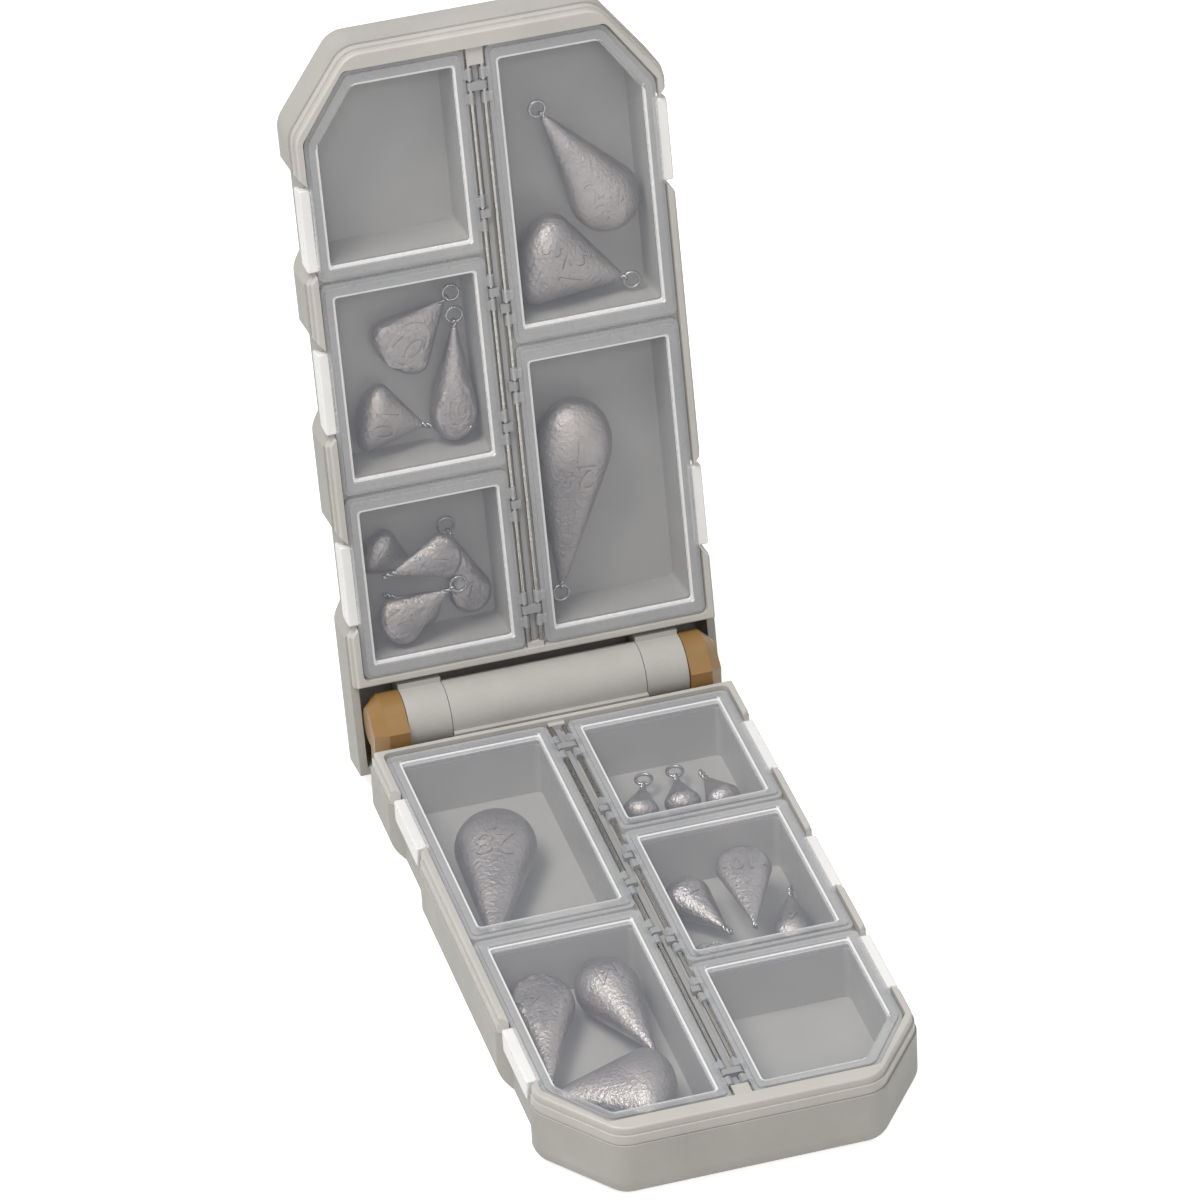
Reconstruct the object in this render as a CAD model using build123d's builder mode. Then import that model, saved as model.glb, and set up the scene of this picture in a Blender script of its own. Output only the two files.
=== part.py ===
# Rig box: two shallow cases on a barrel hinge, each holding a tray of lidded compartments with sinkers.
# Frame: +Z up, +X to the right, -Y to the front. The origin is the middle of the lower case's underside.
# Each half is drawn in its own plane: X across (the large lids at +X), Y away from the hinge axis,
# Z up out of the lids, with Z = 0 at the lids' top faces.
import os
from math import acos, cos, radians, sin, sqrt

from build123d import *

# Opening
opening_angle = 100.0

# Hinge barrel
barrel_radius = 5.6
barrel_gap = 1.0
axis_height = 0.5
central_half_length = 17.5
segment_gap = 0.12
outer_segment_end = 25.2
pin_radius = 1.5
pin_clearance = 0.05
pin_half_length = 29.4
web_drop = 5.0

# End caps of the barrel, each with a leg down the lower case's near wall
cap_gap = 0.15
cap_corner_height = 1.8
cap_leg_drop = 11.2
cap_leg_back = 1.2
cap_end_bevel = 2.2

# Hood: the upper case's shell runs on past the barrel and stands behind it
hood_reach = 10.7
hood_clearance = 0.2

# Ribs in the slot between the upper case and the barrel
slot_rib_width = 1.2
slot_rib_height = 0.55
slot_rib_spacing = 12.2
slot_rib_length = 2.5

# Case
case_half_width = 32.9
case_length = 116.7
case_depth = 14.0
case_wall = 1.4
case_floor = 1.0
base_edge_radius = 3.6
near_corner_radius = 3.0
far_corner_radius = 5.0
far_chamfer_across = 10.6
far_chamfer_along = 14.0
parting_drop = 3.0
parting_gap = 0.1

# Recesses in the side walls under the lid tabs
recess_depth = 2.0
recess_side_slant = 2.4
recess_wall = 1.2
recess_clearance = 0.5
catch_height = 0.7
catch_drop = 3.2
catch_reach = 0.35

# Rim and deck of the tray
rim_inset = 0.3
rim_rise = 0.3
rim_step_drop = 1.2
rim_step_inset = 0.35
rim_edge_radius = 0.4
deck_thickness = 1.2
skirt_clearance = 0.2
skirt_wall = 0.8
skirt_height = 1.9
tray_floor = 0.9
tray_seat_gap = 0.1

# Compartments, from the hinge outwards
pocket_inner = 3.95
pocket_side_margin = 4.4
pocket_near_margin = 4.8
pocket_far_margin = 6.4
pocket_corner_radius = 1.0
pocket_wall = 0.9
pocket_chamfer_across = 7.0
pocket_chamfer_along = 10.4
large_near_share = 0.473
large_divider = 6.7
small_near_share = 0.2692
small_near_divider = 6.1
small_mid_share = 0.3194
small_far_divider = 5.7

# Lids
lid_thickness = 1.8
lid_seat_gap = 0.1
lid_gap = 0.7
lid_field_gap = 0.25
lid_inner_edge = 1.9
lid_side_margin = 2.3
lid_end_margin = 2.75
lid_corner_radius = 1.2
lid_chamfer_growth = 1.1
lid_step_depth = 0.45
lid_step_width = 0.7
window_recess = 1.0
window_thickness = 0.6
window_bead_width = 0.45
window_bead_depth = 0.35

# Lid tabs
tab_length = 15.0
tab_clearance = 0.5
tab_wall = 1.1
tab_drop = 4.4
tab_flare = 0.5
tab_end_radius = 0.9
large_near_tab_share = 0.164
large_far_tab_share = 0.8114
small_near_tab_share = 0.1422
small_mid_tab_share = 0.4834
small_far_tab_share = 0.7668

# Lid hinges in the groove between the two rows of lids
rod_offset = 1.2
rod_drop = 0.9
rod_radius = 0.35
rod_clearance = 0.05
rod_seat_depth = 1.0
knuckle_radius = 0.62
knuckle_length = 2.2
knuckle_pitch = 4.4
knuckle_stop_gap = 0.3
lug_length = 1.5
lug_radius = 0.62
rail_half_width = 0.45
rail_height = 0.7
groove_stop_half_width = 1.45
groove_stop_drop = 0.3
groove_near_stop = 0.9
groove_far_stop = 3.3

# Sinkers, whose table below is drawn for compartments of this width and total length
sinker_field_width = 24.55
sinker_field_length = 105.5
sinker_seat_gap = 0.3
blank_length = 1.9
blank_tip_radius = 0.06
layer_thickness = 4.8
eye_radius = 1.4
wire_radius = 0.33
eye_shank = 1.2

# Planes and levels that follow from the sizes above
case_near_edge = barrel_radius + barrel_gap
case_far_edge = case_near_edge + case_length
hinge_y = case_near_edge + case_length / 2
tilt = radians(opening_angle)
hinge_point = Vector(0, hinge_y, case_depth + axis_height)
lower_up = Vector(0, 0, 1)
upper_up = Vector(0, -sin(tilt), -cos(tilt))
lower_plane = Plane(origin=hinge_point - lower_up * axis_height, x_dir=(-1, 0, 0), z_dir=lower_up)
upper_plane = Plane(origin=hinge_point - upper_up * axis_height, x_dir=(1, 0, 0), z_dir=upper_up)
halves = {"lower": lower_plane, "upper": upper_plane}

pocket_outer = case_half_width - pocket_side_margin
pocket_start = case_near_edge + pocket_near_margin
pocket_end = case_far_edge - pocket_far_margin
pocket_run = pocket_end - pocket_start
case_top = -parting_drop
case_bottom = -case_depth
rim_bottom = case_top + parting_gap
deck_top = -lid_thickness - lid_seat_gap
deck_bottom = deck_top - deck_thickness
pocket_bottom = case_bottom + case_floor + tray_seat_gap
pocket_floor_top = pocket_bottom + tray_floor
recess_face = case_half_width - recess_depth
lid_outer_edge = pocket_outer + lid_side_margin
field_half_width = lid_outer_edge + lid_field_gap
field_near = pocket_start - lid_end_margin - lid_field_gap
field_far = pocket_end + lid_end_margin + lid_field_gap
tab_inner_face = recess_face + tab_clearance
groove_near = field_near + groove_near_stop
groove_far = field_far - groove_far_stop
knuckle_start = groove_far_stop + knuckle_length / 2 + knuckle_stop_gap
cap_start = outer_segment_end + cap_gap
cap_end = case_half_width - case_wall - hood_clearance

large_split = pocket_start + pocket_run * large_near_share
small_split = pocket_start + pocket_run * small_near_share
small_mid_start = small_split + small_near_divider
small_mid_end = small_mid_start + pocket_run * small_mid_share
large_near_tab = pocket_start + pocket_run * large_near_tab_share
large_far_tab = pocket_start + pocket_run * large_far_tab_share
small_near_tab = pocket_start + pocket_run * small_near_tab_share
small_mid_tab = pocket_start + pocket_run * small_mid_tab_share
small_far_tab = pocket_start + pocket_run * small_far_tab_share
sinker_across_scale = (pocket_outer - pocket_inner) / sinker_field_width
sinker_along_scale = pocket_run / sinker_field_length

# Each compartment: side (+1 the large ones, -1 the small ones), near edge, far edge, its lid's
# near and far edges, the middle of its tab, and whether its far outer corner is cut off
pockets = {
    "a1": (1, pocket_start, large_split, pocket_start - lid_end_margin,
           large_split + (large_divider - lid_gap) / 2, large_near_tab, False),
    "a2": (1, large_split + large_divider, pocket_end, large_split + (large_divider + lid_gap) / 2,
           pocket_end + lid_end_margin, large_far_tab, True),
    "b1": (-1, pocket_start, small_split, pocket_start - lid_end_margin,
           small_split + (small_near_divider - lid_gap) / 2, small_near_tab, False),
    "b2": (-1, small_mid_start, small_mid_end, small_split + (small_near_divider + lid_gap) / 2,
           small_mid_end + (small_far_divider - lid_gap) / 2, small_mid_tab, False),
    "b3": (-1, small_mid_end + small_far_divider, pocket_end,
           small_mid_end + (small_far_divider + lid_gap) / 2, pocket_end + lid_end_margin,
           small_far_tab, True),
}


def save(builder, name):
    builder.part.label = name
    export_step(builder.part, f"parts/{name}.step")


# Outline of a case: a rectangle with its two far corners cut off, drawn inset from the case's own edge
def case_outline(inset, near_edge=case_near_edge):
    half = case_half_width - inset
    near = near_edge + inset
    far = case_far_edge - inset
    slope = sqrt(1 / far_chamfer_across ** 2 + 1 / far_chamfer_along ** 2)
    shrink = inset * (1 / far_chamfer_across + 1 / far_chamfer_along - slope)
    across = far_chamfer_across * (1 - shrink)
    along = far_chamfer_along * (1 - shrink)
    with BuildSketch() as outline:
        with BuildLine():
            Polyline(
                (-half, near), (half, near), (half, far - along), (half - across, far),
                (across - half, far), (-half, far - along), (-half, near),
            )
        make_face()
        far_corners = outline.vertices().filter_by(lambda v: v.Y > near + case_length / 2)
        near_corners = outline.vertices().filter_by(lambda v: v.Y < near + case_length / 2)
        fillet(far_corners, far_corner_radius)
        fillet(near_corners, near_corner_radius - min(inset, case_wall) / 2)
    return outline.sketch


# Outline of a compartment or a lid: a rectangle whose far outer corner may be cut off
def lidded_outline(side, inner, outer, near, far, cut, growth, radius):
    across = pocket_chamfer_across + growth
    along = pocket_chamfer_along + growth
    with BuildSketch() as outline:
        with BuildLine():
            if cut:
                Polyline(
                    (side * inner, near), (side * outer, near), (side * outer, far - along),
                    (side * (outer - across), far), (side * inner, far), (side * inner, near),
                )
            else:
                Polyline(
                    (side * inner, near), (side * outer, near), (side * outer, far),
                    (side * inner, far), (side * inner, near),
                )
        make_face()
        fillet(outline.vertices(), radius)
    return outline.sketch


# Outline of the field that the lids lie in
def field_outline():
    across = pocket_chamfer_across + lid_chamfer_growth
    along = pocket_chamfer_along + lid_chamfer_growth
    half = field_half_width
    with BuildSketch() as outline:
        with BuildLine():
            Polyline(
                (-half, field_near), (half, field_near), (half, field_far - along),
                (half - across, field_far), (across - half, field_far),
                (-half, field_far - along), (-half, field_near),
            )
        make_face()
        fillet(outline.vertices(), lid_corner_radius)
    return outline.sketch


# Outlines of the recesses under the tabs, reaching in to the given face and longer by grow at each end
def recess_outlines(face, grow):
    outside = case_half_width + 1.0
    slant = recess_side_slant * (outside - face) / recess_depth
    with BuildSketch() as outline:
        for side, _, _, _, _, tab_middle, _ in pockets.values():
            half = tab_length / 2 + recess_clearance + grow
            with BuildLine():
                Polyline(
                    (side * face, tab_middle - half), (side * outside, tab_middle - half - slant),
                    (side * outside, tab_middle + half + slant), (side * face, tab_middle + half),
                    (side * face, tab_middle - half),
                )
            make_face()
    return outline.sketch


# Plane across the hinge: its X runs away from the hinge axis, its Y up, and it faces along the barrel
def barrel_plane(offset):
    return Plane(origin=(offset, 0, 0), x_dir=(0, 1, 0), z_dir=(1, 0, 0))


# Section of a barrel segment with the web that joins it to its own case
def barrel_section():
    reach = case_near_edge + case_wall
    with BuildSketch() as section:
        with Locations((0, axis_height)):
            Circle(barrel_radius)
        with BuildLine():
            Polyline(
                (0, 0), (case_near_edge - parting_gap, 0),
                (case_near_edge - parting_gap, case_top - parting_gap), (reach, case_top - parting_gap),
                (reach, -web_drop), (0, -web_drop), (0, 0),
            )
        make_face()
    return section.sketch


# The ranges across which each half has a barrel segment
segments = {
    "lower": [(-central_half_length, central_half_length)],
    "upper": [
        (-outer_segment_end, -central_half_length - segment_gap),
        (central_half_length + segment_gap, outer_segment_end),
    ],
}


# Where each case's shell ends towards the hinge
shell_near_edges = {"lower": case_near_edge, "upper": -hood_reach}


# The room inside the hood for the barrel and the end caps, with its floor edges rounded as the shell's are
def make_hood_space():
    near = case_wall - hood_reach
    with BuildPart() as space:
        with BuildSketch(Plane.XY.offset(case_bottom + case_floor)):
            with Locations((0, (near + case_near_edge) / 2)):
                Rectangle(2 * (case_half_width - case_wall), case_near_edge - near)
        extrude(amount=case_depth)
        fillet(space.faces().sort_by(Axis.Z)[0].edges(), base_edge_radius - case_wall)
    return space.part


# One case: shell, side recesses with catch bars, barrel segments and the bore for the pin
def make_case(name, plane):
    with BuildPart() as case:
        with BuildSketch(Plane.XY.offset(case_bottom)):
            add(case_outline(0, shell_near_edges[name]))
        extrude(amount=case_top - case_bottom)
        fillet(case.faces().sort_by(Axis.Z)[0].edges(), base_edge_radius)
        with BuildSketch(Plane.XY.offset(case_bottom + case_floor)):
            add(case_outline(case_wall))
        extrude(amount=case_depth, mode=Mode.SUBTRACT)
        cavity_floor = case.faces().filter_by(Axis.Z).sort_by(Axis.Z)[1]
        fillet(cavity_floor.edges(), base_edge_radius - case_wall)
        with BuildSketch(Plane.XY.offset(case_bottom + case_floor)):
            add(recess_outlines(recess_face - recess_wall, recess_wall))
            add(case_outline(case_wall - parting_gap), mode=Mode.INTERSECT)
        extrude(amount=case_top - case_bottom - case_floor)
        with BuildSketch(Plane.XY.offset(case_bottom)):
            add(recess_outlines(recess_face, 0))
        extrude(amount=case_depth, mode=Mode.SUBTRACT)
        with BuildSketch(Plane.XY.offset(-catch_drop)):
            for side, _, _, _, _, tab_middle, _ in pockets.values():
                with Locations((side * (recess_face - (recess_wall - catch_reach) / 2), tab_middle)):
                    Rectangle(recess_wall + catch_reach, tab_length - 2 * tab_end_radius)
        extrude(amount=-catch_height)
        if name == "upper":
            add(make_hood_space(), mode=Mode.SUBTRACT)
        for start, end in segments[name]:
            with BuildSketch(barrel_plane(start)):
                add(barrel_section())
            extrude(amount=end - start)
        if name == "upper":
            with BuildSketch(Plane.XY.offset(case_top - parting_gap)):
                with GridLocations(slot_rib_spacing, 0, 2, 1):
                    with Locations((0, case_near_edge + (case_wall - slot_rib_height) / 2)):
                        Rectangle(slot_rib_width, case_wall + slot_rib_height)
            extrude(amount=-slot_rib_length)
        with BuildSketch(barrel_plane(-outer_segment_end - segment_gap)):
            with Locations((0, axis_height)):
                Circle(pin_radius + pin_clearance)
        extrude(amount=2 * (outer_segment_end + segment_gap), mode=Mode.SUBTRACT)
    with BuildPart(plane) as placed:
        add(case.part)
    save(placed, f"{name}_case")


# Circles at the two rods of a half, drawn across the groove
def rod_section(radius):
    with BuildSketch() as section:
        with GridLocations(2 * rod_offset, 0, 2, 1):
            with Locations((0, -rod_drop)):
                Circle(radius)
    return section.sketch


# One tray: stepped rim, deck under the lids, skirt, compartments, and stops at the groove's two ends
def make_tray():
    with BuildPart() as tray:
        with BuildSketch(Plane.XY.offset(rim_bottom)):
            add(case_outline(rim_inset))
        extrude(amount=-rim_step_drop - rim_bottom)
        with BuildSketch(Plane.XY.offset(-rim_step_drop)):
            add(case_outline(rim_inset + rim_step_inset))
        extrude(amount=rim_step_drop + rim_rise)
        fillet(tray.faces().sort_by(Axis.Z)[-1].edges(), rim_edge_radius)
        with BuildSketch(Plane.XY.offset(deck_top)):
            add(field_outline())
        extrude(amount=lid_thickness + lid_seat_gap + 2 * rim_rise, mode=Mode.SUBTRACT)
        with BuildSketch(Plane.XY.offset(deck_bottom)):
            add(case_outline(case_wall + skirt_clearance))
        extrude(amount=deck_thickness)
        with BuildSketch(Plane.XY.offset(rim_bottom)):
            add(case_outline(case_wall + skirt_clearance))
            add(case_outline(case_wall + skirt_clearance + skirt_wall), mode=Mode.SUBTRACT)
        extrude(amount=-skirt_height)
        for level, amount, face in (
            (rim_bottom, rim_rise - rim_bottom + rim_rise, recess_face),
            (rim_bottom, -skirt_height, recess_face - recess_wall - skirt_clearance),
        ):
            with BuildSketch(Plane.XY.offset(level)):
                add(recess_outlines(face, recess_face - face))
            extrude(amount=amount, mode=Mode.SUBTRACT)
        with BuildSketch(Plane.XY.offset(pocket_bottom)):
            for side, near, far, _, _, _, cut in pockets.values():
                add(lidded_outline(side, pocket_inner - pocket_wall, pocket_outer + pocket_wall,
                                   near - pocket_wall, far + pocket_wall, cut, 0,
                                   pocket_corner_radius + pocket_wall))
        extrude(amount=deck_bottom - pocket_bottom)
        with BuildSketch(Plane.XY.offset(pocket_floor_top)):
            for side, near, far, _, _, _, cut in pockets.values():
                add(lidded_outline(side, pocket_inner, pocket_outer, near, far, cut, 0, pocket_corner_radius))
        extrude(amount=case_depth, mode=Mode.SUBTRACT)
        with BuildSketch(Plane.XY.offset(deck_top)):
            for stop_near, stop_far in ((field_near - case_wall / 2, groove_near),
                                        (groove_far, field_far + case_wall / 2)):
                with Locations((0, (stop_near + stop_far) / 2)):
                    Rectangle(2 * groove_stop_half_width, stop_far - stop_near)
        extrude(amount=-groove_stop_drop - deck_top)
        with BuildSketch(Plane.XZ.offset(rod_seat_depth - groove_near)):
            add(rod_section(rod_radius + rod_clearance))
        extrude(amount=groove_near - groove_far - 2 * rod_seat_depth, mode=Mode.SUBTRACT)
    return tray.part


# Where a lid's knuckles stand along its inner edge: two near each end
def knuckle_places(lid_near, lid_far):
    near_places = [lid_near + knuckle_start + i * knuckle_pitch for i in range(2)]
    far_places = [lid_far - knuckle_start - i * knuckle_pitch for i in range(2)]
    return near_places + far_places


# Section of a lug: round about the rod, on a foot that reaches in to the rail
def lug_section(side):
    with BuildSketch() as section:
        with Locations((side * rod_offset, -rod_drop)):
            Circle(lug_radius)
        with Locations((side * (rod_offset + lug_radius) / 2, (deck_top - rod_drop) / 2)):
            Rectangle(rod_offset + lug_radius, -rod_drop - deck_top)
        with Locations((side * rod_offset / 2, (deck_top + lug_radius - rod_drop) / 2)):
            Rectangle(rod_offset, lug_radius - rod_drop - deck_top)
    return section.sketch


# Rail in the middle of the groove, with lugs that hold the two rods between the lids' knuckles
def make_rail():
    with BuildPart() as rail:
        with BuildSketch(Plane.XY.offset(deck_top)):
            with Locations((0, (groove_near + groove_far) / 2)):
                Rectangle(2 * rail_half_width, groove_far - groove_near - 2 * parting_gap)
        extrude(amount=rail_height)
        for side, _, _, lid_near, lid_far, _, _ in pockets.values():
            first, second, last, before_last = knuckle_places(lid_near, lid_far)
            for lug_middle in ((first + second) / 2, (last + before_last) / 2):
                with BuildSketch(Plane.XZ.offset(-lug_middle - lug_length / 2)):
                    add(lug_section(side))
                extrude(amount=lug_length)
        with BuildSketch(Plane.XZ.offset(rod_seat_depth - groove_near)):
            add(rod_section(rod_radius + rod_clearance))
        extrude(amount=groove_near - groove_far - 2 * rod_seat_depth, mode=Mode.SUBTRACT)
    return rail.part


# The steel rod that one row of lids turns on
def make_rod(side):
    start = groove_near - rod_seat_depth + parting_gap
    end = groove_far + rod_seat_depth - parting_gap
    with BuildPart() as rod:
        with BuildSketch(Plane.XZ.offset(-start)):
            with Locations((side * rod_offset, -rod_drop)):
                Circle(rod_radius)
        extrude(amount=start - end)
    return rod.part


# The tab that folds from a lid over the rim and down the side wall, to be gripped by a finger
def make_tab(side, tab_middle):
    root = lid_outer_edge - lid_step_width
    outer_face = tab_inner_face + tab_wall
    with BuildPart() as tab:
        with BuildSketch(Plane.XZ.offset(-tab_middle - tab_length / 2)):
            with BuildLine():
                Polyline(
                    (side * root, -lid_step_depth),
                    (side * (outer_face - tab_wall / 2), -lid_step_depth),
                    (side * outer_face, -lid_step_depth - tab_wall / 2),
                    (side * (outer_face + tab_flare), -tab_drop),
                    (side * tab_inner_face, -tab_drop),
                    (side * tab_inner_face, -lid_thickness),
                    (side * root, -lid_thickness),
                    (side * root, -lid_step_depth),
                )
            make_face()
        extrude(amount=tab_length)
        upright = tab.edges().filter_by(lambda e: e.bounding_box().size.Z > tab_wall)
        fillet(upright.group_by(lambda e: abs(e.center().X))[-1], tab_end_radius)
    return tab.part


# One lid: stepped frame round a recessed window, knuckles on the rod, and its tab
def make_lid(pocket):
    side, near, far, lid_near, lid_far, tab_middle, cut = pockets[pocket]
    tab = make_tab(side, tab_middle)
    places = knuckle_places(lid_near, lid_far)
    knuckle_planes = [Plane.XZ.offset(-place - knuckle_length / 2) for place in places]
    with BuildPart() as lid:
        with BuildSketch(Plane.XY.offset(-lid_thickness)):
            add(lidded_outline(side, lid_inner_edge, lid_outer_edge, lid_near, lid_far, cut,
                               lid_chamfer_growth, lid_corner_radius))
        extrude(amount=lid_thickness - lid_step_depth)
        with BuildSketch(Plane.XY.offset(-lid_step_depth)):
            add(lidded_outline(side, lid_inner_edge + lid_step_width, lid_outer_edge - lid_step_width,
                               lid_near + lid_step_width, lid_far - lid_step_width, cut,
                               lid_chamfer_growth / 2, lid_corner_radius))
        extrude(amount=lid_step_depth)
        with BuildSketch(Plane.XY.offset(-window_bead_depth)):
            add(lidded_outline(side, pocket_inner - window_bead_width, pocket_outer + window_bead_width,
                               near - window_bead_width, far + window_bead_width, cut, 0,
                               pocket_corner_radius))
        extrude(amount=window_recess, mode=Mode.SUBTRACT)
        for level, depth in ((-window_recess, window_recess),
                             (-lid_thickness, lid_thickness - window_recess - window_thickness)):
            with BuildSketch(Plane.XY.offset(level)):
                add(lidded_outline(side, pocket_inner, pocket_outer, near, far, cut, 0, pocket_corner_radius))
            extrude(amount=depth, mode=Mode.SUBTRACT)
        with BuildSketch(*knuckle_planes):
            with Locations((side * rod_offset, -rod_drop)):
                Circle(knuckle_radius)
            with Locations((side * (rod_offset + lid_inner_edge + lid_step_width) / 2, -rod_drop)):
                Rectangle(lid_inner_edge + lid_step_width - rod_offset, 2 * knuckle_radius)
        extrude(amount=knuckle_length)
        with BuildSketch(Plane.XZ.offset(-lid_near)):
            with Locations((side * rod_offset, -rod_drop)):
                Circle(rod_radius + rod_clearance)
        extrude(amount=lid_near - lid_far, mode=Mode.SUBTRACT)
        add(tab)
    return lid.part


# Section of an end cap: round about the pin, and a leg down the near wall of the lower case
def cap_section():
    front = case_near_edge - parting_gap
    with BuildSketch() as section:
        with Locations((0, axis_height)):
            Circle(barrel_radius)
        with BuildLine():
            Polyline(
                (front, axis_height + cap_corner_height), (front, axis_height - cap_leg_drop),
                (-cap_leg_back, axis_height - cap_leg_drop), (-cap_leg_back, axis_height),
                (0, axis_height + barrel_radius),
                (barrel_radius / 2, axis_height + barrel_radius * sqrt(3) / 2),
                (front, axis_height + cap_corner_height),
            )
        make_face()
    return section.sketch


# The steel pin through the barrel, and the two end caps that close it
def make_pin_and_caps():
    with BuildPart() as pin:
        with BuildSketch(barrel_plane(-pin_half_length)):
            with Locations((0, axis_height)):
                Circle(pin_radius)
        extrude(amount=2 * pin_half_length)
    with BuildPart(upper_plane) as placed_pin:
        add(pin.part)
    save(placed_pin, "hinge_pin")
    for side, name in ((-1, "right_end_cap"), (1, "left_end_cap")):
        with BuildPart() as cap:
            with BuildSketch(barrel_plane(side * cap_start)):
                add(cap_section())
            extrude(amount=side * (cap_end - cap_start))
            chamfer(cap.faces().sort_by(Axis.X)[0 if side < 0 else -1].edges(), cap_end_bevel)
            with BuildSketch(barrel_plane(0)):
                with Locations((0, axis_height)):
                    Circle(pin_radius + pin_clearance)
            extrude(amount=side * (pin_half_length + pin_clearance), mode=Mode.SUBTRACT)
        with BuildPart(lower_plane) as placed_cap:
            add(cap.part)
        save(placed_cap, name)


# Sinkers: name, compartment's half, bulb's middle (across, out from the hinge), direction of the point,
# length, width, thickness, layer (0 on the floor, 1 on the first layer), and whether its wire eye shows
sinkers = [
    ("upper_a2_sinker_1", "upper", 21.6, 86.4, 120, 24.5, 12.4, 9.6, 0, True),
    ("upper_a2_sinker_2", "upper", 9.8, 76.9, -24, 19.0, 16.6, 9.6, 0, True),
    ("upper_a1_sinker_1", "upper", 11.6, 41.5, -100, 33.5, 14.0, 9.6, 0, True),
    ("upper_b2_sinker_1", "upper", -16.4, 65.0, 40, 14.0, 12.4, 5.6, 0, True),
    ("upper_b2_sinker_2", "upper", -8.4, 52.0, 84, 20.5, 8.4, 7.6, 0, True),
    ("upper_b2_sinker_3", "upper", -22.4, 53.2, -20, 11.5, 12.4, 6.4, 0, False),
    ("upper_b1_sinker_1", "upper", -24.2, 28.0, -36, 10.0, 8.6, 4.8, 0, False),
    ("upper_b1_sinker_2", "upper", -13.8, 27.2, 190, 12.0, 8.4, 4.8, 1, False),
    ("upper_b1_sinker_3", "upper", -8.6, 17.2, 103, 15.0, 7.6, 4.8, 0, True),
    ("upper_b1_sinker_4", "upper", -22.8, 16.4, 24, 13.0, 9.0, 4.8, 1, True),
    ("upper_b1_sinker_5", "upper", -16.6, 15.4, 150, 8.5, 6.6, 4.8, 0, False),
    ("lower_a1_sinker_1", "lower", 17.6, 31.6, 74, 35.5, 14.2, 9.6, 0, False),
    ("lower_a2_sinker_1", "lower", 22.4, 76.6, 79, 25.5, 11.4, 8.4, 0, False),
    ("lower_a2_sinker_2", "lower", 10.8, 76.6, 98, 23.5, 11.0, 9.6, 0, False),
    ("lower_a2_sinker_3", "lower", 12.4, 104.6, -14, 19.5, 18.4, 9.6, 0, False),
    ("lower_b1_sinker_1", "lower", -9.6, 26.6, 250, 9.0, 6.4, 4.8, 0, True),
    ("lower_b1_sinker_2", "lower", -17.2, 26.6, 262, 9.0, 6.4, 4.8, 0, True),
    ("lower_b1_sinker_3", "lower", -24.2, 27.6, 280, 9.0, 6.4, 4.8, 0, False),
    ("lower_b2_sinker_1", "lower", -19.6, 55.0, 80, 20.0, 9.6, 4.8, 1, False),
    ("lower_b2_sinker_2", "lower", -9.4, 55.0, 110, 14.0, 8.6, 7.0, 0, False),
    ("lower_b2_sinker_3", "lower", -24.2, 68.0, 255, 13.0, 7.2, 4.8, 0, False),
    ("lower_b2_sinker_4", "lower", -9.0, 72.0, 60, 9.0, 7.4, 6.0, 0, False),
    ("lower_b2_sinker_5", "lower", -16.6, 73.0, 120, 9.0, 6.8, 4.8, 0, False),
]


# Teardrop of unit width along X, its bulb's middle at the origin: a round bulb and a tangent cone
def make_blank():
    bulb_radius = 0.5
    tip_x = blank_length - bulb_radius
    turn = acos((bulb_radius - blank_tip_radius) / tip_x)
    touch = (bulb_radius * cos(turn), bulb_radius * sin(turn))
    tip_touch = (tip_x + blank_tip_radius * cos(turn), blank_tip_radius * sin(turn))
    with BuildPart() as blank:
        with BuildSketch(Plane.XY):
            with BuildLine():
                RadiusArc((-bulb_radius, 0), touch, bulb_radius)
                Line(touch, tip_touch)
                Line(tip_touch, (tip_touch[0], 0))
                Line((tip_touch[0], 0), (-bulb_radius, 0))
            make_face()
        revolve(axis=Axis.X)
    return blank.part


# One sinker: the teardrop stretched to its size, with a twisted wire eye at its point
def make_sinker(blank, name, half, across, out, direction, length, width, thickness, layer, eye):
    fit = min(sinker_across_scale, sinker_along_scale)
    length, width, thickness = length * fit, width * fit, thickness * fit
    floor_level = pocket_floor_top + sinker_seat_gap + layer * (layer_thickness + sinker_seat_gap)
    tip = (blank_length - 0.5) * length / blank_length
    nearer = pocket_inner if across > 0 else -pocket_inner
    seat_x = nearer + (across - nearer) * sinker_across_scale
    seat_y = pocket_start + (out - pocket_start) * sinker_along_scale
    pointing = Vector(cos(radians(direction)), sin(radians(direction)), 0)
    seat = Plane(halves[half].from_local_coords(Vector(seat_x, seat_y, floor_level + thickness / 2)),
                 x_dir=halves[half].from_local_coords(pointing) - halves[half].origin,
                 z_dir=halves[half].z_dir)
    with BuildPart() as sinker:
        add(blank)
        scale(by=(length / blank_length, width, thickness))
        with BuildSketch(Plane.YZ.offset(tip - wire_radius)):
            Circle(wire_radius)
        extrude(amount=eye_shank)
        if eye:
            eye_middle = tip - wire_radius + eye_shank + eye_radius
            with Locations((eye_middle, 0, 0)):
                Torus(eye_radius, wire_radius)
    with BuildPart(seat) as placed:
        add(sinker.part)
    save(placed, name)


os.makedirs("parts", exist_ok=True)
shared = {"tray": make_tray(), "hinge_rail": make_rail(), "rod_large": make_rod(1), "rod_small": make_rod(-1)}
for pocket_name in pockets:
    shared[f"lid_{pocket_name}"] = make_lid(pocket_name)
for half_name, half_plane in halves.items():
    make_case(half_name, half_plane)
    for piece_name, piece in shared.items():
        with BuildPart(half_plane) as placed_piece:
            add(piece)
        save(placed_piece, f"{half_name}_{piece_name}")
make_pin_and_caps()
teardrop = make_blank()
for row in sinkers:
    make_sinker(teardrop, *row)
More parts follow.
